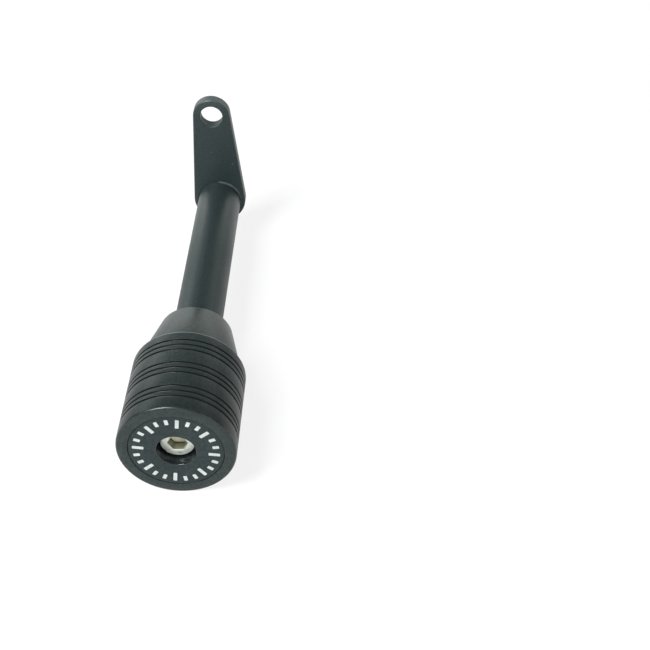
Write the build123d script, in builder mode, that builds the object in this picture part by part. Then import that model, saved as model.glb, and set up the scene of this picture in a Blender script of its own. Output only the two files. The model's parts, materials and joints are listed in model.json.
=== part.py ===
from build123d import *
import os
from math import isclose, radians, tan

# A motorcycle frame slider: a grooved puck bolted to a steel arm with an offset plate.
# Lengths are in millimetres. The origin is the centre of the frame bolt's hole, on the
# face of the plate that lies against the motorcycle. The arm points along -Y, and +Z runs
# from the arm's axis to that hole. A station is a distance from that face along the arm.

# Mounting plate
plate_thickness = 6.0
frame_bolt_hole_radius = 6.25
hole_edge_break = 0.3
hole_to_arm = 55.0
eye_wall = 3.9
foot_margin = 2.7
plate_edge_break = 0.5

# Arm, and the weld behind the plate
arm_radius = 12.1
arm_exposed_length = 120.0
arm_end_chamfer = 1.0
arm_foot_fillet = 0.7
spigot_shoulder = 4.0
spigot_fit = 0.05
weld_leg = 2.0

# Cone collar
cone_length = 29.0
cone_tip_wall = 6.25
cone_tip_round = 0.6
cone_base_ledge = 2.0
cone_base_break = 0.3
cone_web = 6.0
cone_fit = 0.05

# Puck
puck_radius = 27.5
puck_length = 51.0
puck_front_round = 1.2
puck_back_break = 0.5
puck_rim_width = 5.5
groove_width = 1.1
groove_depth = 1.0
first_groove = 8.1
groove_pitch = 3.28
grooves_in_group = 3
group_pitch = 15.3
groove_groups = 3

# End cap
cap_sink = 0.2
cap_flange_thickness = 4.0
cap_fit = 0.15
cap_edge_break = 0.2
hub_wall = 4.0
hub_floor = 4.5
hub_fit = 0.1
hub_end_gap = 0.3
recess_edge_break = 0.35

# Sleeve
sleeve_wall = 3.75
sleeve_fit = 0.1

# Socket head bolt and its spring washer
bolt_radius = 5.0
bolt_hole_clearance = 0.25
thread_fit = 0.05
thread_engagement = 18.0
thread_end_chamfer = 1.0
tap_run_out = 4.0
drill_point_angle = 118.0
head_radius = 8.0
head_height = 10.0
head_sink = 4.8
head_chamfer = 0.6
head_clearance = 1.0
socket_across_flats = 8.0
socket_depth = 5.0
socket_point_angle = 120.0
washer_thickness = 2.5
washer_fit = 0.1
washer_split_gap = 1.0
washer_split_angle = 20.0

# Sizes that follow from what goes round, into or through a piece
eye_radius = frame_bolt_hole_radius + eye_wall
foot_radius = arm_radius + foot_margin
spigot_radius = arm_radius - spigot_shoulder
spigot_bore_radius = spigot_radius + spigot_fit
cone_socket_radius = arm_radius + cone_fit
cone_tip_radius = arm_radius + cone_tip_wall
cone_base_radius = puck_radius - cone_base_ledge
bolt_hole_radius = bolt_radius + bolt_hole_clearance
tapped_radius = bolt_radius + thread_fit
washer_inner_radius = bolt_radius + washer_fit
recess_radius = head_radius + head_clearance
hub_radius = recess_radius + hub_wall
sleeve_radius = bolt_hole_radius + sleeve_wall
cap_seat_radius = puck_radius - puck_rim_width
cap_radius = cap_seat_radius - cap_fit

# Stations of the faces along the arm
cone_tip = plate_thickness + arm_exposed_length
cone_base = cone_tip + cone_length
arm_end = cone_base - cone_web
puck_face = cone_base + puck_length
cap_face = puck_face - cap_sink
flange_seat = cap_face - cap_flange_thickness
head_top = cap_face - head_sink
head_seat = head_top - head_height
washer_seat = head_seat - washer_thickness
hub_end = washer_seat - hub_floor
bolt_end = arm_end - thread_engagement
tap_end = bolt_end - tap_run_out

# Planes and the axis that the turned pieces share
arm_axis = Axis((0, 0, -hole_to_arm), (0, -1, 0))
arm_section = Plane(origin=(0, 0, -hole_to_arm), x_dir=(0, -1, 0), z_dir=(-1, 0, 0))
plate_back = Plane(origin=(0, 0, 0), x_dir=(1, 0, 0), z_dir=(0, -1, 0))


def across_arm(station):
    """Plane square to the arm at a station, facing outwards, centred on the arm's axis."""
    return Plane(origin=(0, -station, -hole_to_arm), x_dir=(1, 0, 0), z_dir=(0, -1, 0))


def drill_point(radius, point_angle):
    """Length of the cone that a drill of this radius leaves at the bottom of its hole."""
    return radius / tan(radians(point_angle / 2))


# Mounting plate: two round ends joined by tangent sides
with BuildPart() as mounting_plate:
    with BuildSketch(plate_back):
        Circle(eye_radius)
        with Locations((0, -hole_to_arm)):
            Circle(foot_radius)
        make_hull()
    extrude(amount=plate_thickness)
    chamfer(mounting_plate.faces().filter_by(Axis.Y).edges(), plate_edge_break)
    with BuildSketch(plate_back):
        Circle(frame_bolt_hole_radius)
        with Locations((0, -hole_to_arm)):
            Circle(spigot_bore_radius)
    extrude(amount=plate_thickness, mode=Mode.SUBTRACT)
    back_circles = mounting_plate.faces().sort_by(Axis.Y)[-1].edges().filter_by(GeomType.CIRCLE)
    front_circles = mounting_plate.faces().sort_by(Axis.Y)[0].edges().filter_by(GeomType.CIRCLE)
    chamfer(back_circles.filter_by(lambda e: isclose(e.radius, spigot_bore_radius)), weld_leg)
    chamfer(front_circles.filter_by(lambda e: isclose(e.radius, frame_bolt_hole_radius)),
            hole_edge_break)

# Arm bar: a spigot through the plate, a filleted shoulder on it, and a tapped outer end
with BuildPart() as arm_bar:
    with BuildSketch(arm_section):
        fillet_station = plate_thickness + arm_foot_fillet
        fillet_centre = (fillet_station, arm_radius + arm_foot_fillet)
        with BuildLine():
            CenterArc(fillet_centre, arm_foot_fillet, 180, 90)
            Polyline(
                (plate_thickness, arm_radius + arm_foot_fillet),
                (plate_thickness, spigot_radius),
                (weld_leg, spigot_radius),
                (0, spigot_radius - weld_leg),
                (0, 0),
                (tap_end - drill_point(tapped_radius, drill_point_angle), 0),
                (tap_end, tapped_radius),
                (arm_end, tapped_radius),
                (arm_end, arm_radius - arm_end_chamfer),
                (arm_end - arm_end_chamfer, arm_radius),
                (fillet_station, arm_radius),
            )
        make_face()
    revolve(axis=arm_axis)

# Weld: fills the groove between the plate and the spigot, ground flush with the plate
with BuildPart() as plate_weld:
    with BuildSketch(arm_section):
        with BuildLine():
            Polyline(
                (0, spigot_radius - weld_leg),
                (0, spigot_bore_radius + weld_leg),
                (weld_leg, spigot_bore_radius),
                (weld_leg, spigot_radius),
                close=True,
            )
        make_face()
    revolve(axis=arm_axis)

# Cone collar: a cup over the arm's end, with a web that the bolt passes through
with BuildPart() as cone_collar:
    with BuildSketch(arm_section):
        with BuildLine():
            Polyline(
                (cone_tip, cone_socket_radius),
                (cone_tip, cone_tip_radius),
                (cone_base, cone_base_radius),
                (cone_base, bolt_hole_radius),
                (arm_end, bolt_hole_radius),
                (arm_end, cone_socket_radius),
                close=True,
            )
        make_face()
    revolve(axis=arm_axis)
    tip_rim = cone_collar.faces().sort_by(Axis.Y)[-1].edges().sort_by(SortBy.RADIUS)[-1]
    base_rim = cone_collar.faces().sort_by(Axis.Y)[0].edges().sort_by(SortBy.RADIUS)[-1]
    fillet(tip_rim, cone_tip_round)
    chamfer(base_rim, cone_base_break)

# Slider puck: bored for the cap's flange, the cap's hub and the sleeve
with BuildPart() as slider_puck:
    with BuildSketch(arm_section):
        with BuildLine():
            Polyline(
                (cone_base, sleeve_radius + sleeve_fit),
                (cone_base, puck_radius),
                (puck_face, puck_radius),
                (puck_face, cap_seat_radius),
                (flange_seat, cap_seat_radius),
                (flange_seat, hub_radius + hub_fit),
                (hub_end - hub_end_gap, hub_radius + hub_fit),
                (hub_end - hub_end_gap, sleeve_radius + sleeve_fit),
                close=True,
            )
        make_face()
    revolve(axis=arm_axis)
    front_rims = slider_puck.faces().sort_by(Axis.Y)[0].edges().sort_by(SortBy.RADIUS)
    back_rim = slider_puck.faces().sort_by(Axis.Y)[-1].edges().sort_by(SortBy.RADIUS)[-1]
    fillet(front_rims[-1], puck_front_round)
    chamfer(front_rims[0], cap_edge_break)
    chamfer(back_rim, puck_back_break)
    groove_stations = [
        puck_face - first_groove - group * group_pitch - groove * groove_pitch
        for group in range(groove_groups)
        for groove in range(grooves_in_group)
    ]
    with BuildSketch(arm_section):
        with Locations([(station, puck_radius) for station in groove_stations]):
            Rectangle(groove_width, 2 * groove_depth)
    revolve(axis=arm_axis, mode=Mode.SUBTRACT)

# End cap: a flanged hub with a recess for the bolt's head
with BuildPart() as end_cap:
    with BuildSketch(arm_section):
        with BuildLine():
            Polyline(
                (hub_end, bolt_hole_radius),
                (hub_end, hub_radius),
                (flange_seat, hub_radius),
                (flange_seat, cap_radius),
                (cap_face, cap_radius),
                (cap_face, recess_radius),
                (washer_seat, recess_radius),
                (washer_seat, bolt_hole_radius),
                close=True,
            )
        make_face()
    revolve(axis=arm_axis)
    cap_rims = end_cap.faces().sort_by(Axis.Y)[0].edges().sort_by(SortBy.RADIUS)
    chamfer(cap_rims[-1], cap_edge_break)
    chamfer(cap_rims[0], recess_edge_break)

# Crush sleeve: a spacer that carries the bolt's clamping force past the puck
with BuildPart() as crush_sleeve:
    with BuildSketch(across_arm(cone_base)):
        Circle(sleeve_radius)
        Circle(bolt_hole_radius, mode=Mode.SUBTRACT)
    extrude(amount=hub_end - cone_base)

# Spring washer: a flat square-section ring with a slanted split
with BuildPart() as spring_washer:
    with BuildSketch(across_arm(washer_seat)):
        Circle(head_radius)
        Circle(washer_inner_radius, mode=Mode.SUBTRACT)
    extrude(amount=washer_thickness)
    washer_middle = washer_seat + washer_thickness / 2
    with BuildSketch(Plane(origin=(0, -washer_middle, -hole_to_arm), z_dir=(0, 0, 1))):
        Rectangle(washer_split_gap, 2 * washer_thickness, rotation=washer_split_angle)
    extrude(amount=2 * head_radius, mode=Mode.SUBTRACT)

# Clamp bolt: a cap screw with a hexagon socket, threaded into the arm's end
with BuildPart() as clamp_bolt:
    with BuildSketch(arm_section):
        with BuildLine():
            Polyline(
                (bolt_end, 0),
                (bolt_end, bolt_radius - thread_end_chamfer),
                (bolt_end + thread_end_chamfer, bolt_radius),
                (head_seat, bolt_radius),
                (head_seat, head_radius),
                (head_top - head_chamfer, head_radius),
                (head_top, head_radius - head_chamfer),
                (head_top, 0),
                close=True,
            )
        make_face()
    revolve(axis=arm_axis)
    with BuildSketch(across_arm(head_top)):
        RegularPolygon(socket_across_flats / 2, 6, major_radius=False)
    extrude(amount=-socket_depth, mode=Mode.SUBTRACT)
    socket_floor = head_top - socket_depth
    with BuildSketch(arm_section):
        with BuildLine():
            Polyline(
                (socket_floor, 0),
                (socket_floor, socket_across_flats / 2),
                (socket_floor - drill_point(socket_across_flats / 2, socket_point_angle), 0),
                close=True,
            )
        make_face()
    revolve(axis=arm_axis, mode=Mode.SUBTRACT)

mounting_plate.part.label = "mounting_plate"
arm_bar.part.label = "arm_bar"
plate_weld.part.label = "plate_weld"
cone_collar.part.label = "cone_collar"
slider_puck.part.label = "slider_puck"
end_cap.part.label = "end_cap"
crush_sleeve.part.label = "crush_sleeve"
spring_washer.part.label = "spring_washer"
clamp_bolt.part.label = "clamp_bolt"

os.makedirs("parts", exist_ok=True)
export_step(mounting_plate.part, "parts/mounting_plate.step")
export_step(arm_bar.part, "parts/arm_bar.step")
export_step(plate_weld.part, "parts/plate_weld.step")
export_step(cone_collar.part, "parts/cone_collar.step")
export_step(slider_puck.part, "parts/slider_puck.step")
export_step(end_cap.part, "parts/end_cap.step")
export_step(crush_sleeve.part, "parts/crush_sleeve.step")
export_step(spring_washer.part, "parts/spring_washer.step")
export_step(clamp_bolt.part, "parts/clamp_bolt.step")
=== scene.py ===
"""Looks for a motorcycle frame slider, in metres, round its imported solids.

A black painted arm and plate carry an anodised cone, a turned plastic puck with an anodised
cap, and a plated socket head bolt. The arm points along -Y. A station is a distance along it
from the plate's back face, and every turned piece is drawn from stations and radii.
"""
import json
import math

import bmesh
import bpy
from mathutils import Matrix, Vector

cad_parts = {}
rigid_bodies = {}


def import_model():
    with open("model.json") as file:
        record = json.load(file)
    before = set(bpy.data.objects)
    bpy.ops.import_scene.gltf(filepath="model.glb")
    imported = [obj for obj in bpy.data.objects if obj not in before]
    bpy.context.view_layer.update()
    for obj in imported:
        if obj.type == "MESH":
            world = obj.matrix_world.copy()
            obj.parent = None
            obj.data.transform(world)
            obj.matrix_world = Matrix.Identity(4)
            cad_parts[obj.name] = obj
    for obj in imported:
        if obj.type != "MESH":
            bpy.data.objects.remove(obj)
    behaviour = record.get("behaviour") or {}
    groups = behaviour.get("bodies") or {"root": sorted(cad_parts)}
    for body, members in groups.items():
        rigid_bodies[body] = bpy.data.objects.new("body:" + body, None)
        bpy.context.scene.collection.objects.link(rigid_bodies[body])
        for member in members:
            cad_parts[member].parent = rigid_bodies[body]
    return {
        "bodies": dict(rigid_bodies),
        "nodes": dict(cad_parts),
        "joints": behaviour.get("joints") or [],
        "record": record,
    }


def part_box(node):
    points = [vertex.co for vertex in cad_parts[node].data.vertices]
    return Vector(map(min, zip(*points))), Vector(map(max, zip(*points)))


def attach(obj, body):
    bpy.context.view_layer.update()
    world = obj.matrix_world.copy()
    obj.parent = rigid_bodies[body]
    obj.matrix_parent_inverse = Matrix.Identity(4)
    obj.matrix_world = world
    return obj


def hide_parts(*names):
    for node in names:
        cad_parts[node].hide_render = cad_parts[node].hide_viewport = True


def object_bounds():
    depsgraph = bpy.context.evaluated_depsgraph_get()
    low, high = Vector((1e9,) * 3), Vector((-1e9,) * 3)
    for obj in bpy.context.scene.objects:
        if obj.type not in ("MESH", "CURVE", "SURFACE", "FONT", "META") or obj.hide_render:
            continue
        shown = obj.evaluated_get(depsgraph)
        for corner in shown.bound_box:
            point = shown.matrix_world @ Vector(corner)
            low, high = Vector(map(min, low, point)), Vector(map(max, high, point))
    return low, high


MM = 0.001

# Camera: the photograph's place, turn and lens, measured from the puck's face
CAMERA_FROM_PUCK_FACE = Vector((87.99, -350.35, 375.72)) * MM
CAMERA_AZIMUTH = 3.040
CAMERA_ELEVATION = 40.602
CAMERA_ROLL = -2.109
CAMERA_LENS = 63.067
CAMERA_SENSOR = 36.0

# Turned pieces
TURNED_SEGMENTS = 224
ROUND_STEPS = 4
SHARP_ANGLE = math.radians(30)

# Where the shared effects start and stop
PATCH_NOISE = (0.32, 0.68)
MOTTLE_NOISE = (0.3, 0.7)
MOTTLE_SIZE = 1.2 * MM
MOTTLE_DEPTH = 0.28
SPECK_CHANCE = 0.8
SIDE_LEAN = (0.05, 0.25)
FACE_LEAN = (0.9, 0.99)

# Plate and arm
PLATE_THICKNESS = 6.0 * MM
ARM_RADIUS = 12.1 * MM
# How far round the hole, how high and how strongly the plate's front is painted lighter as painted light
HOLE_SURROUND = 6.7 * MM
EYE_TOP = 10.0 * MM
EYE_PAINTED_LIGHT = 0.35
CUT_EDGE_LEAN = (0.3, 0.8)
# FOOT_LINE and FOOT_BLEND size the painted shade and highlight in the arm's foot corner
FOOT_LINE = 0.7 * MM
FOOT_BLEND = 0.5 * MM
FOOT_ROUGHNESS = 0.95
SHEEN_FROM = -75 * MM
SHEEN_TO = -15 * MM
SHEEN = 0.45

# Puck
PUCK_FRONT_ROUND = 1.2 * MM
PUCK_BACK_ROUND = 0.6 * MM
GROOVE_WIDTH = 1.1 * MM
GROOVE_DEPTH = 1.0 * MM
GROOVE_LIP = 0.14 * MM
GROOVE_ROOT = 0.25 * MM
FIRST_GROOVE = 8.1 * MM
GROOVE_PITCH = 3.28 * MM
GROOVES_IN_GROUP = 3
GROUP_PITCH = 15.3 * MM
GROOVE_GROUPS = 3
GROOVE_WEAR = 0.8
GROOVE_ROUGHNESS = 0.7
FRONT_RIM = 2.0 * MM
# BACK_RIM is how wide the painted highlight on the puck's back rim is
BACK_RIM = 0.75 * MM
RIM_WEAR = 0.55
SEAT_GAP = 0.15 * MM
HUB_GAP = 0.1 * MM
HUB_END_GAP = 0.3 * MM
SLEEVE_GAP = 0.1 * MM

# Cone collar
CONE_TIP_RADIUS = 18.35 * MM
CONE_TIP_ROUND = 0.6 * MM
CONE_BASE_RADIUS = 25.5 * MM
CONE_BASE_ROUND = 0.3 * MM
CONE_SOCKET_GAP = 0.05 * MM

# Cap, with its hub and the recess for the bolt's head
CAP_FLANGE = 4.0 * MM
CAP_EDGE_ROUND = 0.2 * MM
HUB_RADIUS = 13.0 * MM
RECESS_RADIUS = 9.0 * MM
RECESS_EDGE_ROUND = 0.35 * MM
BOLT_HOLE_RADIUS = 5.25 * MM

# Printed marks round the cap
MARK_COUNT = 24
MARK_LONG_EVERY = 3
MARK_OUTER_RADIUS = 19.9 * MM
MARK_LONG = 5.2 * MM
MARK_SHORT = 3.0 * MM
MARK_WIDTH = 1.7 * MM
MARK_CORNER = 0.35 * MM
MARK_HEIGHT = 0.04 * MM
MARK_TURN = math.radians(7.5)

# Bolt
BOLT_RADIUS = 5.0 * MM
BOLT_POINTS = 96
HEAD_HEIGHT = 10.0 * MM
HEAD_ROUND = 0.6 * MM
HEAD_BREAK = 0.25 * MM
HEX_FLATS = 8.2 * MM
HEX_BREAK = 0.35 * MM
HEX_DEPTH = 5.0 * MM
HEX_DRILLED = 0.97
HEX_POINT = 2.3 * MM
HEX_CORNER = 1.3 * MM
HEX_FLOOR_FROM = 0.026 * MM
THREAD_LENGTH = 32.0 * MM
THREAD_PITCH = 1.5 * MM
THREAD_DEPTH = 0.8 * MM
THREAD_SLOPE = 1.15
THREAD_CREST = 0.1
THREAD_ROWS_PER_TURN = 8

# Floor and light
FLOOR_SIZE = 6.0
FLOOR_COLOUR = (0.8, 0.8, 0.8)
FLOOR_COLOUR_SEEN = (0.18, 0.18, 0.18)
FLOOR_GLOW = 0.84
FLOOR_LIT_TO = 0.35
FLOOR_WHITE_FROM = 0.9
WALL_TOP = 0.05
CEILING = 0.03
LAMP_DISTANCE = 1.3
LAMP_SIZE = 0.55
LAMP_COLOUR = (0.96, 1.0, 0.985)


def load_frame():
    """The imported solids, with the box that they fill before anything is added."""
    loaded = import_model()
    low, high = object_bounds()
    return loaded, [list(low), list(high)]


frame, cad_box = load_frame()
nodes = frame["nodes"]

puck_low, puck_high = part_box("slider_puck")
cap_low, cap_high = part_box("end_cap")
cone_low, cone_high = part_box("cone_collar")
bolt_low, bolt_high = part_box("clamp_bolt")
sleeve_low, sleeve_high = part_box("crush_sleeve")
washer_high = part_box("spring_washer")[1]
arm_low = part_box("arm_bar")[0]

ARM_HEIGHT = (puck_low.z + puck_high.z) / 2
ARM_END = -arm_low.y
PUCK_RADIUS = (puck_high.z - puck_low.z) / 2
PUCK_BACK = -puck_high.y
PUCK_FACE = -puck_low.y
CONE_TIP = -cone_high.y
CONE_BASE = -cone_low.y
CAP_RADIUS = (cap_high.z - cap_low.z) / 2
CAP_FACE = -cap_low.y
HUB_END = -cap_high.y
FLANGE_SEAT = CAP_FACE - CAP_FLANGE
SLEEVE_RADIUS = (sleeve_high.z - sleeve_low.z) / 2
WASHER_SEAT = -washer_high.y
HEAD_TOP = -bolt_low.y
HEAD_SEAT = HEAD_TOP - HEAD_HEIGHT
HEAD_RADIUS = (bolt_high.z - bolt_low.z) / 2
BOLT_END = -bolt_high.y


# Node tree helpers
def place(tree, kind, inputs=None, **settings):
    """Adds a node, sets its properties, and fills or links each named input."""
    node = tree.nodes.new(kind)
    for name, value in settings.items():
        setattr(node, name, value)
    for name, value in (inputs or {}).items():
        if isinstance(value, bpy.types.NodeSocket):
            tree.links.new(value, node.inputs[name])
        else:
            node.inputs[name].default_value = value
    return node


def maths(tree, operation, first, second=None, clamp=False):
    """The result of one sum, comparison or other step."""
    inputs = {0: first} if second is None else {0: first, 1: second}
    return place(tree, "ShaderNodeMath", inputs, operation=operation, use_clamp=clamp).outputs[0]


def ramp(tree, value, start, end, low=0.0, high=1.0):
    """A number that goes from low to high as the value goes from start to end."""
    inputs = {"Value": value, "From Min": start, "From Max": end, "To Min": low, "To Max": high}
    return place(tree, "ShaderNodeMapRange", inputs).outputs["Result"]


def parts_of(tree, vector):
    """The X, Y and Z of a vector."""
    return place(tree, "ShaderNodeSeparateXYZ", {"Vector": vector}).outputs


def length_of(tree, across, upwards):
    """The length of a vector from its two parts."""
    joined = place(tree, "ShaderNodeCombineXYZ", {"X": across, "Y": upwards}).outputs[0]
    return place(tree, "ShaderNodeVectorMath", {0: joined}, operation="LENGTH").outputs["Value"]


def effect_group(name, inputs, outputs):
    """A node group with named float or vector sockets, and its two end nodes."""
    group = bpy.data.node_groups.new(name, "ShaderNodeTree")
    for label, kind, default in inputs:
        socket = group.interface.new_socket(label, in_out="INPUT", socket_type=kind)
        if default is not None:
            socket.default_value = default
    for label in outputs:
        group.interface.new_socket(label, in_out="OUTPUT", socket_type="NodeSocketFloat")
    start = group.nodes.new("NodeGroupInput").outputs
    return group, start, group.nodes.new("NodeGroupOutput").inputs


def use_group(tree, group, **inputs):
    """Places a node group in a tree, with its inputs set by name, and gives its outputs."""
    node = tree.nodes.new("ShaderNodeGroup")
    node.node_tree = group
    for name, value in inputs.items():
        socket = node.inputs[name.replace("_", " ").capitalize()]
        if isinstance(value, bpy.types.NodeSocket):
            tree.links.new(value, socket)
        else:
            socket.default_value = value
    return node.outputs


# Shared effects
def fine_grain_group():
    """Small even bumps, as of sprayed powder or etched metal, from 0 to 1."""
    group, start, end = effect_group(
        "fine_grain",
        [("Vector", "NodeSocketVector", None), ("Size", "NodeSocketFloat", 0.0005)],
        ["Height"],
    )
    scale = maths(group, "DIVIDE", 1.0, start["Size"])
    noise = place(
        group,
        "ShaderNodeTexNoise",
        {"Vector": start["Vector"], "Scale": scale, "Detail": 2.5, "Roughness": 0.55},
    )
    group.links.new(noise.outputs["Fac"], end["Height"])
    return group


def turning_marks_group():
    """Irregular rings that a lathe tool leaves, square to the arm, from 0 to 1."""
    group, start, end = effect_group(
        "turning_marks",
        [
            ("Vector", "NodeSocketVector", None),
            ("Arm height", "NodeSocketFloat", 0.0),
            ("Pitch", "NodeSocketFloat", 0.0003),
        ],
        ["Height", "Band"],
    )
    parts = parts_of(group, start["Vector"])
    above = maths(group, "SUBTRACT", parts["Z"], start["Arm height"])
    path = maths(group, "ADD", parts["Y"], length_of(group, parts["X"], above))
    turns = maths(group, "DIVIDE", path, start["Pitch"])
    for label, scale, detail in (("Height", 1.0, 2.0), ("Band", 0.06, 1.0)):
        rings = place(
            group,
            "ShaderNodeTexNoise",
            {"W": turns, "Scale": scale, "Detail": detail},
            noise_dimensions="1D",
        )
        group.links.new(rings.outputs["Fac"], end[label])
    return group


def handling_group():
    """Broad soft patches, where a surface was handled, from 0 to 1."""
    group, start, end = effect_group(
        "handling",
        [("Vector", "NodeSocketVector", None), ("Size", "NodeSocketFloat", 0.02)],
        ["Patches"],
    )
    scale = maths(group, "DIVIDE", 1.0, start["Size"])
    noise = place(
        group,
        "ShaderNodeTexNoise",
        {"Vector": start["Vector"], "Scale": scale, "Detail": 3.0, "Distortion": 0.4},
    )
    group.links.new(ramp(group, noise.outputs["Fac"], *PATCH_NOISE), end["Patches"])
    return group


def dust_group():
    """Sparse pale specks, 1 on a speck and 0 between them."""
    group, start, end = effect_group(
        "dust",
        [
            ("Vector", "NodeSocketVector", None),
            ("Spacing", "NodeSocketFloat", 0.004),
            ("Speck", "NodeSocketFloat", 0.05),
        ],
        ["Mask"],
    )
    scale = maths(group, "DIVIDE", 1.0, start["Spacing"])
    cells = place(group, "ShaderNodeTexVoronoi", {"Vector": start["Vector"], "Scale": scale}).outputs
    chance = place(group, "ShaderNodeSeparateColor", {"Color": cells["Color"]}).outputs
    size = maths(group, "MULTIPLY", chance[0], start["Speck"])
    inside = maths(group, "LESS_THAN", cells["Distance"], size)
    chosen = maths(group, "GREATER_THAN", chance[1], SPECK_CHANCE)
    group.links.new(maths(group, "MULTIPLY", inside, chosen), end["Mask"])
    return group


def burnished_edges_group():
    """1 on the rounded edges of a turned piece, and 0 on its flats and its straight sides."""
    group, start, end = effect_group("burnished_edges", [("Facing", "NodeSocketVector", None)], ["Mask"])
    lean = maths(group, "ABSOLUTE", parts_of(group, start["Facing"])["Y"])
    off_side = ramp(group, lean, *SIDE_LEAN)
    off_face = ramp(group, lean, *FACE_LEAN, low=1.0, high=0.0)
    group.links.new(maths(group, "MULTIPLY", off_side, off_face), end["Mask"])
    return group


fine_grain = fine_grain_group()
turning_marks = turning_marks_group()
handling = handling_group()
dust = dust_group()
burnished_edges = burnished_edges_group()


# Colours and numbers over a surface
def blend_colours(tree, amount, first, second):
    """A colour that goes from the first to the second as the amount goes from 0 to 1."""
    mix = place(tree, "ShaderNodeMix", data_type="RGBA")
    tree.links.new(amount, mix.inputs["Factor"])
    for socket, colour in ((mix.inputs[6], first), (mix.inputs[7], second)):
        if isinstance(colour, bpy.types.NodeSocket):
            tree.links.new(colour, socket)
        else:
            socket.default_value = (*colour, 1.0)
    return mix.outputs[2]


def blend_values(tree, amount, low, high):
    """A number that goes from low to high as the amount goes from 0 to 1."""
    return ramp(tree, amount, 0.0, 1.0, low, high)


def mottled(tree, where, colour):
    """The colour, a little lighter or darker from one small spot to the next."""
    grain = use_group(tree, fine_grain, vector=where, size=MOTTLE_SIZE)["Height"]
    shade = ramp(tree, grain, *MOTTLE_NOISE, low=1 - MOTTLE_DEPTH, high=1 + MOTTLE_DEPTH)
    scaled = place(tree, "ShaderNodeVectorMath", {0: colour, "Scale": shade}, operation="SCALE")
    return scaled.outputs["Vector"]


def bump(tree, height, distance, normal=None):
    """A Bump node's normal, with the height's full range as deep as the distance."""
    node = place(tree, "ShaderNodeBump", {"Height": height, "Distance": distance, "Strength": 1.0})
    if normal is not None:
        tree.links.new(normal, node.inputs["Normal"])
    return node.outputs["Normal"]


# Places on the part
def facing_of(tree):
    """The way that the surface faces, in the part's own frame."""
    return tree.nodes.new("ShaderNodeTexCoord").outputs["Normal"]


def along_arm(tree):
    """How far the surface faces along the arm, either way: 0 on a turned side and 1 on a face."""
    return maths(tree, "ABSOLUTE", parts_of(tree, facing_of(tree))["Y"])


def turned_inside(tree, where, radius):
    """1 nearer to the arm's axis than the radius, and 0 outside it."""
    parts = parts_of(tree, where)
    above = maths(tree, "SUBTRACT", parts["Z"], ARM_HEIGHT)
    return maths(tree, "LESS_THAN", length_of(tree, parts["X"], above), radius)


def in_groove(tree, where):
    """1 below the lips of the puck's outer surface, where the grooves are, and 0 elsewhere."""
    over = turned_inside(tree, where, PUCK_RADIUS - GROOVE_LIP / 4)
    under = turned_inside(tree, where, PUCK_RADIUS - GROOVE_DEPTH - GROOVE_ROOT)
    shell = maths(tree, "SUBTRACT", over, under)
    station = parts_of(tree, where)["Y"]
    behind_face = maths(tree, "GREATER_THAN", station, GROOVE_LIP - PUCK_FACE + PUCK_FRONT_ROUND)
    before_back = maths(tree, "LESS_THAN", station, -PUCK_BACK - PUCK_BACK_ROUND)
    between = maths(tree, "MULTIPLY", behind_face, before_back)
    return maths(tree, "MULTIPLY", shell, between)


def on_puck_rims(tree, where):
    """1 at the puck's front rim and 1 at its back rim, on two sockets, and 0 elsewhere."""
    station = parts_of(tree, where)["Y"]
    front = maths(tree, "LESS_THAN", station, FRONT_RIM - PUCK_FACE)
    back = maths(tree, "GREATER_THAN", station, -PUCK_BACK - BACK_RIM)
    inside = turned_inside(tree, where, (PUCK_RADIUS + CAP_RADIUS) / 2)
    return [maths(tree, "SUBTRACT", end, inside, clamp=True) for end in (front, back)]


def on_arm_foot(tree, where):
    """1 in the corner where the arm meets the plate's front, and 0 elsewhere."""
    station = parts_of(tree, where)["Y"]
    close = maths(tree, "GREATER_THAN", station, -PLATE_THICKNESS - FOOT_LINE)
    near = maths(tree, "MULTIPLY", close, turned_inside(tree, where, ARM_RADIUS + FOOT_LINE))
    return maths(tree, "MULTIPLY", near, maths(tree, "LESS_THAN", station, -PLATE_THICKNESS))


def off_hole(tree, where):
    """1 on the plate outside a ring round its hole that the painted light leaves out, and 0 in it."""
    parts = parts_of(tree, where)
    return maths(tree, "GREATER_THAN", length_of(tree, parts["X"], parts["Z"]), HOLE_SURROUND)


def on_plate_edge(tree, where):
    """1 on the plate's cut outline, which is painted lighter as painted light, and 0 elsewhere."""
    behind = maths(tree, "GREATER_THAN", parts_of(tree, where)["Y"], -PLATE_THICKNESS)
    edge = ramp(tree, along_arm(tree), *CUT_EDGE_LEAN, low=1.0, high=0.0)
    return maths(tree, "MULTIPLY", maths(tree, "MULTIPLY", behind, edge), off_hole(tree, where))


# Finishes
def new_finish(name):
    """An empty node material with its output, its shader and the surface's own coordinates."""
    material = bpy.data.materials.new(name)
    material.use_nodes = True
    tree = material.node_tree
    tree.nodes.clear()
    output = tree.nodes.new("ShaderNodeOutputMaterial")
    shader = tree.nodes.new("ShaderNodeBsdfPrincipled")
    tree.links.new(shader.outputs["BSDF"], output.inputs["Surface"])
    where = tree.nodes.new("ShaderNodeTexCoord").outputs["Object"]
    return material, tree, shader.inputs, where


def tint_reflections(shader, level, tint):
    """How strong the plain reflections are, and their colour."""
    shader["Specular IOR Level"].default_value = level
    shader["Specular Tint"].default_value = (*tint, 1.0)


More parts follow.
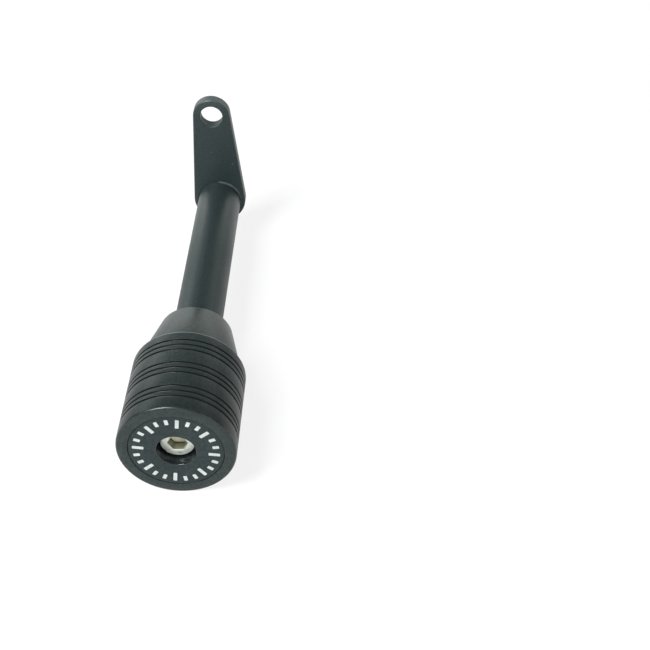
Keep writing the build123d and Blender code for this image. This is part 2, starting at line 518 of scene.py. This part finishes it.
def black_powder_coat():
    """Satin black paint: orange peel, soft patches, specks, painted light on the plate's top and edges,
    painted shade and highlight at the arm's foot.
    """
    material, tree, shader, where = new_finish("black_powder_coat")
    patches = use_group(tree, handling, vector=where, size=30 * MM)["Patches"]
    peel = use_group(tree, fine_grain, vector=where, size=1.1 * MM)["Height"]
    specks = use_group(tree, dust, vector=where, spacing=5 * MM, speck=0.06)["Mask"]
    parts = parts_of(tree, where)
    paint = blend_colours(tree, patches, (0.0145, 0.0225, 0.0235), (0.0178, 0.0268, 0.0278))
    lit_paint = blend_colours(tree, patches, (0.060, 0.074, 0.074), (0.080, 0.096, 0.096))
    # Painted light: the plate's front is painted lighter towards the top of its eye, and its cut edges
    # lighter still
    painted_lighter = ramp(tree, parts["Z"], 0.0, EYE_TOP, high=EYE_PAINTED_LIGHT)
    top_lit = blend_colours(tree, maths(tree, "MULTIPLY", painted_lighter, off_hole(tree, where)), paint, lit_paint)
    edge_lit = blend_colours(tree, on_plate_edge(tree, where), top_lit, lit_paint)
    # Painted shade and highlight: the arm's foot corner is painted dark on its left and light on its right
    foot = on_arm_foot(tree, where)
    right = ramp(tree, parts["X"], -FOOT_BLEND, 2 * FOOT_BLEND)
    foot_shade_and_highlight = blend_colours(tree, right, (0.010, 0.014, 0.015), (0.062, 0.072, 0.071))
    painted_corner_light = blend_colours(tree, foot, edge_lit, foot_shade_and_highlight)
    colour = blend_colours(tree, specks, mottled(tree, where, painted_corner_light), (0.16, 0.17, 0.17))
    tree.links.new(colour, shader["Base Color"])
    tint_reflections(shader, level=0.47, tint=(0.86, 1.0, 0.98))
    sheen = ramp(tree, parts["Y"], SHEEN_FROM, SHEEN_TO, high=SHEEN)
    off_plate = maths(tree, "LESS_THAN", parts["Y"], -PLATE_THICKNESS)
    glossed = maths(tree, "MULTIPLY", sheen, off_plate)
    tree.links.new(maths(tree, "SUBTRACT", glossed, foot, clamp=True), shader["Coat Weight"])
    shader["Coat Roughness"].default_value = 0.38
    satin = blend_values(tree, patches, 0.45, 0.53)
    tree.links.new(blend_values(tree, foot, satin, FOOT_ROUGHNESS), shader["Roughness"])
    tree.links.new(bump(tree, peel, 0.02 * MM), shader["Normal"])
    return material


def black_anodised_cone():
    """Bead-blasted and black anodised aluminium: a soft metallic sheen with faint rings."""
    material, tree, shader, where = new_finish("black_anodised_cone")
    patches = use_group(tree, handling, vector=where, size=20 * MM)["Patches"]
    blast = use_group(tree, fine_grain, vector=where, size=0.5 * MM)["Height"]
    marks = use_group(tree, turning_marks, vector=where, arm_height=ARM_HEIGHT, pitch=0.4 * MM)
    shade = blend_colours(tree, patches, (0.035, 0.044, 0.042), (0.042, 0.052, 0.050))
    banded = blend_colours(tree, marks["Band"], shade, (0.042, 0.050, 0.049))
    tree.links.new(mottled(tree, where, banded), shader["Base Color"])
    tint_reflections(shader, level=0.25, tint=(0.86, 1.0, 0.95))
    tree.links.new(blend_values(tree, patches, 0.33, 0.39), shader["Roughness"])
    grain = bump(tree, blast, 0.012 * MM)
    tree.links.new(bump(tree, marks["Height"], 0.004 * MM, normal=grain), shader["Normal"])
    return material


def turned_black_plastic():
    """Black acetal, turned: tool rings, painted light paling the back and face, a painted highlight on the
    back rim, painted shade in grooves, worn rims.
    """
    material, tree, shader, where = new_finish("turned_black_plastic")
    patches = use_group(tree, handling, vector=where, size=25 * MM)["Patches"]
    marks = use_group(tree, turning_marks, vector=where, arm_height=ARM_HEIGHT, pitch=0.35 * MM)
    specks = use_group(tree, dust, vector=where, spacing=6 * MM, speck=0.05)["Mask"]
    plain_plastic = blend_colours(tree, patches, (0.0165, 0.0218, 0.0213), (0.0202, 0.0260, 0.0255))
    lit_plastic = blend_colours(tree, patches, (0.0292, 0.0372, 0.0367), (0.0342, 0.0428, 0.0423))
    # Painted light: the puck is painted paler towards its back and on its face
    far = ramp(tree, parts_of(tree, where)["Y"], -PUCK_FACE, -PUCK_BACK)
    on_face = ramp(tree, along_arm(tree), FACE_LEAN[0], 1.0)
    plastic = blend_colours(tree, maths(tree, "MAXIMUM", far, on_face), plain_plastic, lit_plastic)
    speckled = blend_colours(tree, specks, mottled(tree, where, plastic), (0.18, 0.19, 0.19))
    cut = in_groove(tree, where)
    front_rim, back_rim = on_puck_rims(tree, where)
    # Painted highlight: a pale line on the puck's back rim
    painted_lighter = blend_colours(tree, back_rim, speckled, (0.155, 0.180, 0.176))
    # Painted shade: the grooves are painted darker inside
    colour = blend_colours(tree, cut, painted_lighter, (0.008, 0.011, 0.011))
    tree.links.new(colour, shader["Base Color"])
    tint_reflections(shader, level=0.175, tint=(0.86, 1.0, 0.98))
    edges = use_group(tree, burnished_edges, facing=facing_of(tree))["Mask"]
    worn_rim = maths(tree, "MULTIPLY", maths(tree, "MULTIPLY", edges, front_rim), RIM_WEAR)
    worn_cut = maths(tree, "MULTIPLY", cut, GROOVE_WEAR)
    tree.links.new(maths(tree, "MAXIMUM", worn_rim, worn_cut), shader["Coat Weight"])
    shader["Coat Roughness"].default_value = 0.24
    land = blend_values(tree, marks["Band"], 0.34, 0.41)
    tree.links.new(blend_values(tree, cut, land, GROOVE_ROUGHNESS), shader["Roughness"])
    tree.links.new(bump(tree, marks["Height"], 0.006 * MM), shader["Normal"])
    return material


def black_anodised_cap():
    """Matt black anodising over fine facing rings, smoother in the bored recess, which is painted darker
    as painted shade.
    """
    material, tree, shader, where = new_finish("black_anodised_cap")
    patches = use_group(tree, handling, vector=where, size=12 * MM)["Patches"]
    blast = use_group(tree, fine_grain, vector=where, size=0.4 * MM)["Height"]
    marks = use_group(tree, turning_marks, vector=where, arm_height=ARM_HEIGHT, pitch=0.2 * MM)
    specks = use_group(tree, dust, vector=where, spacing=5 * MM, speck=0.05)["Mask"]
    face = blend_colours(tree, patches, (0.0215, 0.0302, 0.0313), (0.0257, 0.0352, 0.0363))
    bored = turned_inside(tree, where, RECESS_RADIUS + RECESS_EDGE_ROUND / 2)
    # Painted shade: the bored recess is painted darker than the face
    recess_shaded = blend_colours(tree, bored, face, (0.0100, 0.0130, 0.0138))
    colour = blend_colours(tree, specks, mottled(tree, where, recess_shaded), (0.2, 0.21, 0.21))
    tree.links.new(colour, shader["Base Color"])
    tint_reflections(shader, level=0.2, tint=(0.88, 1.0, 1.0))
    edges = use_group(tree, burnished_edges, facing=facing_of(tree))["Mask"]
    mouth = turned_inside(tree, where, RECESS_RADIUS + 2 * RECESS_EDGE_ROUND)
    tree.links.new(maths(tree, "MULTIPLY", edges, mouth), shader["Coat Weight"])
    shader["Coat Roughness"].default_value = 0.1
    matt = blend_values(tree, patches, 0.46, 0.54)
    smooth = blend_values(tree, patches, 0.12, 0.15)
    tree.links.new(blend_values(tree, bored, matt, smooth), shader["Roughness"])
    grain = bump(tree, blast, 0.01 * MM)
    tree.links.new(bump(tree, marks["Height"], 0.003 * MM, normal=grain), shader["Normal"])
    return material


def plated_bolt_steel():
    """Bright plated steel with a warm cast, and rings that its forming left on the head."""
    material, tree, shader, where = new_finish("plated_bolt_steel")
    patches = use_group(tree, handling, vector=where, size=3 * MM)["Patches"]
    marks = use_group(tree, turning_marks, vector=where, arm_height=ARM_HEIGHT, pitch=0.2 * MM)
    colour = blend_colours(tree, patches, (0.66, 0.68, 0.61), (0.76, 0.78, 0.71))
    tree.links.new(colour, shader["Base Color"])
    shader["Metallic"].default_value = 0.4
    tree.links.new(blend_values(tree, patches, 0.26, 0.36), shader["Roughness"])
    tree.links.new(bump(tree, marks["Height"], 0.002 * MM), shader["Normal"])
    return material


def key_socket_steel():
    """The broached socket in the bolt's head: dull brown sides, painted shade at the bottom corner, a
    floor painted paler as painted light.
    """
    material, tree, shader, where = new_finish("key_socket_steel")
    patches = use_group(tree, handling, vector=where, size=2 * MM)["Patches"]
    scrape = use_group(tree, fine_grain, vector=where, size=0.4 * MM)["Height"]
    sides = blend_colours(tree, patches, (0.35, 0.34, 0.245), (0.45, 0.435, 0.32))
    # Painted light: the socket's floor is painted paler than its sides
    floor = blend_colours(tree, patches, (0.72, 0.71, 0.55), (0.82, 0.81, 0.64))
    station = parts_of(tree, where)["Y"]
    bottom = HEX_DEPTH - HEAD_TOP
    # Painted shade: the sides darken towards the socket's bottom corner
    corner = ramp(tree, station, bottom - HEX_CORNER, bottom - HEX_CORNER / 2)
    painted_corner_light = blend_colours(tree, corner, sides, (0.15, 0.145, 0.105))
    deep = maths(tree, "GREATER_THAN", station, bottom - HEX_FLOOR_FROM)
    tree.links.new(blend_colours(tree, deep, painted_corner_light, floor), shader["Base Color"])
    shader["Metallic"].default_value = 0.45
    tree.links.new(blend_values(tree, patches, 0.36, 0.46), shader["Roughness"])
    tree.links.new(bump(tree, scrape, 0.01 * MM), shader["Normal"])
    return material


def plain_sleeve_steel():
    """Bare turned steel of the sleeve and the washer, greyer than the bolt."""
    material, tree, shader, where = new_finish("plain_sleeve_steel")
    patches = use_group(tree, handling, vector=where, size=4 * MM)["Patches"]
    marks = use_group(tree, turning_marks, vector=where, arm_height=ARM_HEIGHT, pitch=0.25 * MM)
    colour = blend_colours(tree, patches, (0.42, 0.42, 0.41), (0.52, 0.52, 0.50))
    tree.links.new(colour, shader["Base Color"])
    shader["Metallic"].default_value = 1.0
    tree.links.new(blend_values(tree, patches, 0.32, 0.44), shader["Roughness"])
    tree.links.new(bump(tree, marks["Height"], 0.01 * MM), shader["Normal"])
    return material


def printed_white():
    """White ink on the cap, a little uneven where it was pressed on."""
    material, tree, shader, where = new_finish("printed_white")
    wear = use_group(tree, handling, vector=where, size=2.5 * MM)["Patches"]
    colour = blend_colours(tree, wear, (0.52, 0.54, 0.54), (0.61, 0.63, 0.63))
    tree.links.new(colour, shader["Base Color"])
    tree.links.new(blend_values(tree, wear, 0.45, 0.6), shader["Roughness"])
    return material


# Meshes
def on_arm(station, radius, angle):
    """The point at a station and a radius from the arm's axis, turned from straight up."""
    return Vector((radius * math.sin(angle), -station, ARM_HEIGHT + radius * math.cos(angle)))


def rounded_outline(corners):
    """Outline points from (station, radius, rounding) corners; no rounding keeps one sharp."""
    points = []
    for index, (station, radius, rounding) in enumerate(corners):
        corner = Vector((station, radius))
        if rounding == 0:
            points.append(corner)
            continue
        before = (Vector(corners[index - 1][:2]) - corner).normalized()
        after = (Vector(corners[(index + 1) % len(corners)][:2]) - corner).normalized()
        half = before.angle(after) / 2
        middle = corner + (before + after).normalized() * (rounding / math.sin(half))
        first = corner + before * (rounding / math.tan(half)) - middle
        last = corner + after * (rounding / math.tan(half)) - middle
        turn = first.angle_signed(last)
        for step in range(ROUND_STEPS + 1):
            spoke = first.copy()
            spoke.rotate(Matrix.Rotation(-turn * step / ROUND_STEPS, 2))
            points.append(middle + spoke)
    return points


def finish_mesh(name, mesh_data, material):
    """Turns a bmesh into a smooth object with its sharp edges kept and its finish on."""
    bmesh.ops.recalc_face_normals(mesh_data, faces=mesh_data.faces)
    mesh = bpy.data.meshes.new(name)
    mesh_data.to_mesh(mesh)
    mesh_data.free()
    mesh.shade_smooth()
    mesh.set_sharp_from_angle(angle=SHARP_ANGLE)
    mesh.materials.append(material)
    piece = bpy.data.objects.new(name, mesh)
    bpy.context.scene.collection.objects.link(piece)
    return piece


def turned_piece(name, corners, material):
    """A solid of revolution about the arm's axis, from the corners of its half section."""
    outline = rounded_outline(corners)
    mesh_data = bmesh.new()
    slices = [
        [
            mesh_data.verts.new(on_arm(point.x, point.y, 2 * math.pi * turn / TURNED_SEGMENTS))
            for point in outline
        ]
        for turn in range(TURNED_SEGMENTS)
    ]
    for turn, here in enumerate(slices):
        there = slices[(turn + 1) % TURNED_SEGMENTS]
        for index in range(len(outline)):
            following = (index + 1) % len(outline)
            mesh_data.faces.new((here[index], here[following], there[following], there[index]))
    return finish_mesh(name, mesh_data, material)


def groove_corners():
    """The corners of the puck's grooves, from the back towards the face."""
    corners = []
    for group in reversed(range(GROOVE_GROUPS)):
        for groove in reversed(range(GROOVES_IN_GROUP)):
            middle = PUCK_FACE - FIRST_GROOVE - group * GROUP_PITCH - groove * GROOVE_PITCH
            back = middle - GROOVE_WIDTH / 2
            front = middle + GROOVE_WIDTH / 2
            corners += [
                (back, PUCK_RADIUS, GROOVE_LIP),
                (back, PUCK_RADIUS - GROOVE_DEPTH, GROOVE_ROOT),
                (front, PUCK_RADIUS - GROOVE_DEPTH, GROOVE_ROOT),
                (front, PUCK_RADIUS, GROOVE_LIP),
            ]
    return corners


def make_puck(material):
    """The grooved puck, bored for the sleeve, the cap's hub and the cap's flange."""
    sleeve_bore = SLEEVE_RADIUS + SLEEVE_GAP
    hub_bore = HUB_RADIUS + HUB_GAP
    hub_step = HUB_END - HUB_END_GAP
    seat = CAP_RADIUS + SEAT_GAP
    corners = [
        (PUCK_BACK, sleeve_bore, 0),
        (PUCK_BACK, PUCK_RADIUS, PUCK_BACK_ROUND),
        *groove_corners(),
        (PUCK_FACE, PUCK_RADIUS, PUCK_FRONT_ROUND),
        (PUCK_FACE, seat, CAP_EDGE_ROUND),
        (FLANGE_SEAT, seat, 0),
        (FLANGE_SEAT, hub_bore, 0),
        (hub_step, hub_bore, 0),
        (hub_step, sleeve_bore, 0),
    ]
    return turned_piece("puck_body", corners, material)


def make_cone(material):
    """The cone: a cup over the arm's end with a web that the bolt goes through."""
    socket = ARM_RADIUS + CONE_SOCKET_GAP
    corners = [
        (CONE_TIP, socket, 0),
        (CONE_TIP, CONE_TIP_RADIUS, CONE_TIP_ROUND),
        (CONE_BASE, CONE_BASE_RADIUS, CONE_BASE_ROUND),
        (CONE_BASE, BOLT_HOLE_RADIUS, 0),
        (ARM_END, BOLT_HOLE_RADIUS, 0),
        (ARM_END, socket, 0),
    ]
    return turned_piece("cone_body", corners, material)


def make_cap(material):
    """The cap: a flange in the puck's face, and a hub with the recess for the bolt's head."""
    corners = [
        (HUB_END, BOLT_HOLE_RADIUS, 0),
        (HUB_END, HUB_RADIUS, 0),
        (FLANGE_SEAT, HUB_RADIUS, 0),
        (FLANGE_SEAT, CAP_RADIUS, 0),
        (CAP_FACE, CAP_RADIUS, CAP_EDGE_ROUND),
        (CAP_FACE, RECESS_RADIUS, RECESS_EDGE_ROUND),
        (WASHER_SEAT, RECESS_RADIUS, 0),
        (WASHER_SEAT, BOLT_HOLE_RADIUS, 0),
    ]
    return turned_piece("cap_body", corners, material)


def round_ring(station, radius):
    """One ring of the bolt's mesh, all at one radius."""
    return [on_arm(station, radius, 2 * math.pi * k / BOLT_POINTS) for k in range(BOLT_POINTS)]


def hexagon_ring(station, flats):
    """One ring of the bolt's mesh on a hexagon, with two corners level with the axis."""
    ring = []
    for k in range(BOLT_POINTS):
        angle = 2 * math.pi * k / BOLT_POINTS
        from_flat = (angle + math.pi / 6) % (math.pi / 3) - math.pi / 6
        ring.append(on_arm(station, flats / 2 / math.cos(from_flat), angle))
    return ring


def thread_ring(station):
    """One ring of the thread: its depth runs once round the bolt in each pitch."""
    ring = []
    run_in = min(1.0, (station - BOLT_END) / THREAD_PITCH)
    run_out = min(1.0, (BOLT_END + THREAD_LENGTH - station) / THREAD_PITCH)
    for k in range(BOLT_POINTS):
        phase = (station / THREAD_PITCH + k / BOLT_POINTS) % 1.0
        flank = min(1.0, max(0.0, THREAD_SLOPE * (1 - abs(2 * phase - 1)) - THREAD_CREST))
        depth = THREAD_DEPTH * max(1.0 - run_in, flank * run_out)
        ring.append(on_arm(station, BOLT_RADIUS - depth, 2 * math.pi * k / BOLT_POINTS))
    return ring


def make_bolt(material, socket_material):
    """The cap screw, as rings joined from the thread's end to the point of its socket."""
    rows = round(THREAD_LENGTH / THREAD_PITCH * THREAD_ROWS_PER_TURN)
    rings = [thread_ring(BOLT_END + THREAD_LENGTH * row / rows) for row in range(rows + 1)]
    rings.append(round_ring(HEAD_SEAT, BOLT_RADIUS))
    rings.append(round_ring(HEAD_SEAT, HEAD_RADIUS - HEAD_BREAK))
    rings.append(round_ring(HEAD_SEAT + HEAD_BREAK, HEAD_RADIUS))
    for step in range(ROUND_STEPS + 1):
        angle = math.pi / 2 * step / ROUND_STEPS
        rings.append(round_ring(HEAD_TOP - HEAD_ROUND * (1 - math.sin(angle)),
                                HEAD_RADIUS - HEAD_ROUND * (1 - math.cos(angle))))
    rings.append(hexagon_ring(HEAD_TOP, HEX_FLATS + 2 * HEX_BREAK))
    socket_wall = len(rings)
    rings.append(hexagon_ring(HEAD_TOP - HEX_BREAK, HEX_FLATS))
    rings.append(hexagon_ring(HEAD_TOP - HEX_DEPTH, HEX_FLATS))
    rings.append(round_ring(HEAD_TOP - HEX_DEPTH, HEX_FLATS / 2 * HEX_DRILLED))
    mesh_data = bmesh.new()
    made = [[mesh_data.verts.new(point) for point in ring] for ring in rings]
    for row, (here, there) in enumerate(zip(made, made[1:])):
        for k in range(BOLT_POINTS):
            n = (k + 1) % BOLT_POINTS
            face = mesh_data.faces.new((here[k], here[n], there[n], there[k]))
            face.material_index = int(row >= socket_wall)
    for ring, station in ((made[0], BOLT_END), (made[-1], HEAD_TOP - HEX_DEPTH - HEX_POINT)):
        tip = mesh_data.verts.new(on_arm(station, 0, 0))
        for k in range(BOLT_POINTS):
            face = mesh_data.faces.new((ring[k], ring[(k + 1) % BOLT_POINTS], tip))
            face.material_index = int(ring is made[-1])
    piece = finish_mesh("bolt_body", mesh_data, material)
    piece.data.materials.append(socket_material)
    return piece


def mark_outline(length):
    """A plain bar with rounded corners, as (across, from the centre) pairs about its middle."""
    points = []
    for corner in range(4):
        side = 1 if corner in (0, 3) else -1
        end = 1 if corner in (0, 1) else -1
        centre = Vector((side * (MARK_WIDTH / 2 - MARK_CORNER), end * (length / 2 - MARK_CORNER)))
        for step in range(ROUND_STEPS + 1):
            angle = math.pi / 2 * (corner + step / ROUND_STEPS)
            points.append(centre + Vector((math.cos(angle), math.sin(angle))) * MARK_CORNER)
    return points


def make_marks(material):
    """Plain white bars printed round the cap, one long bar to two short ones."""
    mesh_data = bmesh.new()
    for mark in range(MARK_COUNT):
        length = MARK_LONG if mark % MARK_LONG_EVERY == 0 else MARK_SHORT
        middle = MARK_OUTER_RADIUS - length / 2
        angle = MARK_TURN + 2 * math.pi * mark / MARK_COUNT
        layers = []
        for station in (CAP_FACE - MARK_HEIGHT, CAP_FACE + MARK_HEIGHT):
            layer = []
            for point in mark_outline(length):
                across, outwards = point.x, middle + point.y
                x = outwards * math.sin(angle) + across * math.cos(angle)
                z = outwards * math.cos(angle) - across * math.sin(angle)
                layer.append(mesh_data.verts.new((x, -station, ARM_HEIGHT + z)))
            layers.append(layer)
        below, above = layers
        mesh_data.faces.new(below)
        mesh_data.faces.new(reversed(above))
        for k in range(len(below)):
            n = (k + 1) % len(below)
            mesh_data.faces.new((below[k], above[k], above[n], below[n]))
    return finish_mesh("cap_marks", mesh_data, material)


def dress(node_name, material):
    """Puts a finish on a solid that is shown as it is."""
    mesh = nodes[node_name].data
    mesh.materials.clear()
    mesh.materials.append(material)


def stand_for(piece, node_name):
    """The piece rides on the part and is shown in place of a solid."""
    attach(piece, "root")
    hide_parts(node_name)


# The part
powder_coat = black_powder_coat()
sleeve_steel = plain_sleeve_steel()
for painted in ("mounting_plate", "arm_bar", "plate_weld"):
    dress(painted, powder_coat)
for bare in ("crush_sleeve", "spring_washer"):
    dress(bare, sleeve_steel)

stand_for(make_puck(turned_black_plastic()), "slider_puck")
stand_for(make_cone(black_anodised_cone()), "cone_collar")
stand_for(make_cap(black_anodised_cap()), "end_cap")
stand_for(make_bolt(plated_bolt_steel(), key_socket_steel()), "clamp_bolt")
marks = make_marks(printed_white())
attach(marks, "root")


# The studio
def seen_directly(tree):
    """1 for a ray from the camera, a mirror or glass, and 0 for one that carries soft light."""
    path = tree.nodes.new("ShaderNodeLightPath").outputs
    seen = maths(tree, "MAXIMUM", path["Is Camera Ray"], path["Is Glossy Ray"])
    return maths(tree, "MAXIMUM", seen, path["Is Transmission Ray"])


def make_floor():
    """A wide pale floor under the puck, white to the camera, that keeps the part's shadow."""
    material = bpy.data.materials.new("pale_floor")
    material.use_nodes = True
    tree = material.node_tree
    tree.nodes.clear()
    output = tree.nodes.new("ShaderNodeOutputMaterial")
    seen = seen_directly(tree)
    shade = blend_colours(tree, seen, FLOOR_COLOUR, FLOOR_COLOUR_SEEN)
    paper = place(tree, "ShaderNodeBsdfDiffuse", {"Color": shade})
    where = tree.nodes.new("ShaderNodeTexCoord").outputs["Object"]
    distance = place(tree, "ShaderNodeVectorMath", {0: where}, operation="LENGTH").outputs["Value"]
    whiter = ramp(tree, distance, FLOOR_LIT_TO, FLOOR_WHITE_FROM, FLOOR_GLOW, 1.0)
    amount = maths(tree, "MULTIPLY", seen, whiter)
    glow = place(tree, "ShaderNodeEmission", {"Color": (1, 1, 1, 1), "Strength": amount})
    both = place(tree, "ShaderNodeAddShader", {0: paper.outputs[0], 1: glow.outputs[0]})
    tree.links.new(both.outputs[0], output.inputs["Surface"])
    half = FLOOR_SIZE / 2
    level = puck_low.z
    corners = [(-half, -half, level), (half, -half, level), (half, half, level), (-half, half, level)]
    mesh = bpy.data.meshes.new("floor")
    mesh.from_pydata(corners, [], [(0, 1, 2, 3)])
    mesh.materials.append(material)
    floor = bpy.data.objects.new("floor", mesh)
    bpy.context.scene.collection.objects.link(floor)


def make_world():
    """White all round to the camera; a white skirting under dark walls to everything else."""
    world = bpy.data.worlds.new("studio")
    world.use_nodes = True
    tree = world.node_tree
    tree.nodes.clear()
    output = tree.nodes.new("ShaderNodeOutputWorld")
    height = parts_of(tree, tree.nodes.new("ShaderNodeTexCoord").outputs["Generated"])["Z"]
    room = place(
        tree,
        "ShaderNodeMapRange",
        {"Value": height, "From Min": 0.0, "From Max": WALL_TOP, "To Min": 1.0, "To Max": CEILING},
        interpolation_type="SMOOTHSTEP",
    ).outputs["Result"]
    path = tree.nodes.new("ShaderNodeLightPath").outputs
    strength = maths(tree, "MAXIMUM", path["Is Camera Ray"], room)
    sky = place(tree, "ShaderNodeBackground", {"Color": (1, 1, 1, 1), "Strength": strength})
    tree.links.new(sky.outputs[0], output.inputs["Surface"])
    bpy.context.scene.world = world


def soft_lamp(name, azimuth, elevation, power, width=LAMP_SIZE, height=LAMP_SIZE):
    """An area lamp in a direction from the part; azimuth 0 is in front and 90 to the right."""
    lamp = bpy.data.lights.new(name, "AREA")
    lamp.shape = "RECTANGLE"
    lamp.size = width
    lamp.size_y = height
    lamp.energy = power
    lamp.color = LAMP_COLOUR
    piece = bpy.data.objects.new(name, lamp)
    bpy.context.scene.collection.objects.link(piece)
    turn, tilt = math.radians(azimuth), math.radians(elevation)
    direction = Vector((math.sin(turn) * math.cos(tilt), -math.cos(turn) * math.cos(tilt), math.sin(tilt)))
    piece.location = Vector((0, -PUCK_BACK, ARM_HEIGHT)) + direction * LAMP_DISTANCE
    piece.rotation_euler = (-direction).to_track_quat("-Z", "Y").to_euler()


def make_camera():
    """The photograph's camera, from its place relative to the puck's face."""
    camera = bpy.data.cameras.new("photo_camera")
    camera.sensor_fit = "HORIZONTAL"
    camera.sensor_width = CAMERA_SENSOR
    camera.lens = CAMERA_LENS
    piece = bpy.data.objects.new("photo_camera", camera)
    bpy.context.scene.collection.objects.link(piece)
    turn, tilt, roll = (math.radians(a) for a in (CAMERA_AZIMUTH, CAMERA_ELEVATION, CAMERA_ROLL))
    forward = Vector((-math.sin(turn) * math.cos(tilt), math.cos(turn) * math.cos(tilt), -math.sin(tilt)))
    level_right = forward.cross(Vector((0, 0, 1))).normalized()
    level_up = level_right.cross(forward)
    right = level_right * math.cos(roll) + level_up * math.sin(roll)
    up = level_up * math.cos(roll) - level_right * math.sin(roll)
    turned = Matrix((right, up, -forward)).transposed().to_4x4()
    puck_face_centre = Vector((0, -PUCK_FACE, ARM_HEIGHT))
    piece.matrix_world = Matrix.Translation(puck_face_centre + CAMERA_FROM_PUCK_FACE) @ turned
    bpy.context.scene.camera = piece


make_floor()
make_world()
soft_lamp("front_left_above", azimuth=-45, elevation=50, power=18.6)
soft_lamp("above", azimuth=-50, elevation=70, power=7.0, width=0.3, height=0.3)
soft_lamp("front", azimuth=0, elevation=22, power=2.1)
soft_lamp("front_right", azimuth=45, elevation=22, power=2.2)
soft_lamp("back_right", azimuth=135, elevation=22, power=1.0)
soft_lamp("back_left", azimuth=-135, elevation=22, power=2.5)
soft_lamp("low_behind", azimuth=180, elevation=12, power=3.8, width=1.5, height=0.4)
make_camera()
bpy.context.scene.view_settings.view_transform = "Standard"
